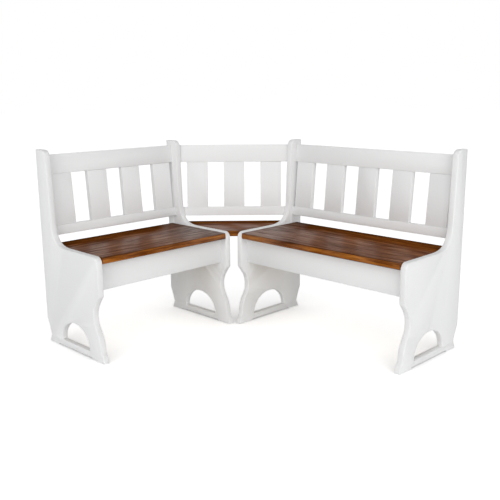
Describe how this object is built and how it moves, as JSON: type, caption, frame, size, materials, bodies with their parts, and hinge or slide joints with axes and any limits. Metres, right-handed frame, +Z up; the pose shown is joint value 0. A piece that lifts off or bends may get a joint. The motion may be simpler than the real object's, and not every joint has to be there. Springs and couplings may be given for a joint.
{
  "type": "corner storage bench",
  "caption": "Painted corner storage bench with raked slatted backs, sawn end panels with arched cut-outs, a bridging corner seat, and stained seats that lift as lids over storage boxes.",
  "frame": {"origin": "middle of the floor plan's bounding box, on the floor", "axes": "+Z up; the right bench runs along +X and faces -Y, the left bench runs along Y and faces +X, and the wall corner is at low X and high Y"},
  "size_m": [1.3984, 1.2074, 0.872],
  "materials": {
    "painted_wood": "satin warm white paint",
    "stained_wood": "brown stain under satin varnish",
    "plain_wood": "bare pine and plywood",
    "steel": "zinc plated"
  },
  "bodies": {
    "frame": {"left_outer_end_panel": "painted_wood", "left_inner_end_panel": "painted_wood", "left_bottom_rail": "painted_wood", "left_top_rail": "painted_wood", "left_slat_1": "painted_wood", "left_slat_2": "painted_wood", "left_slat_3": "painted_wood", "left_slat_4": "painted_wood", "left_front_apron": "painted_wood", "left_rear_apron": "painted_wood", "left_storage_floor": "plain_wood", "left_hinge_1_fixed_leaf": "steel", "left_hinge_1_pin": "steel", "left_hinge_2_fixed_leaf": "steel", "left_hinge_2_pin": "steel", "right_outer_end_panel": "painted_wood", "right_inner_end_panel": "painted_wood", "right_bottom_rail": "painted_wood", "right_top_rail": "painted_wood", "right_slat_1": "painted_wood", "right_slat_2": "painted_wood", "right_slat_3": "painted_wood", "right_slat_4": "painted_wood", "right_slat_5": "painted_wood", "right_front_apron": "painted_wood", "right_rear_apron": "painted_wood", "right_storage_floor": "plain_wood", "right_hinge_1_fixed_leaf": "steel", "right_hinge_1_pin": "steel", "right_hinge_2_fixed_leaf": "steel", "right_hinge_2_pin": "steel", "right_hinge_3_fixed_leaf": "steel", "right_hinge_3_pin": "steel", "corner_seat": "stained_wood", "corner_bottom_rail": "painted_wood", "corner_top_rail": "painted_wood", "corner_slat_1": "painted_wood", "corner_slat_2": "painted_wood", "corner_slat_3": "painted_wood", "corner_cleat_left": "plain_wood", "corner_cleat_right": "plain_wood", "corner_bolt_left_1": "steel", "corner_bolt_left_2": "steel", "corner_bolt_right_1": "steel", "corner_bolt_right_2": "steel"},
    "left_lid": {"left_seat_lid": "stained_wood", "left_lid_batten_1": "plain_wood", "left_lid_batten_2": "plain_wood", "left_hinge_1_lid_leaf": "steel", "left_hinge_2_lid_leaf": "steel"},
    "right_lid": {"right_seat_lid": "stained_wood", "right_lid_batten_1": "plain_wood", "right_lid_batten_2": "plain_wood", "right_hinge_1_lid_leaf": "steel", "right_hinge_2_lid_leaf": "steel", "right_hinge_3_lid_leaf": "steel"}
  },
  "joints": [
    {"name": "left_lid_hinge", "type": "hinge", "parent": "frame", "child": "left_lid", "pos_m": [-0.61955, -0.22775, 0.4212], "axis": [0, -1, 0], "range_deg": [0, 75]},
    {"name": "right_lid_hinge", "type": "hinge", "parent": "frame", "child": "right_lid", "pos_m": [0.22775, 0.52405, 0.4212], "axis": [-1, 0, 0], "range_deg": [0, 75]}
  ]
}
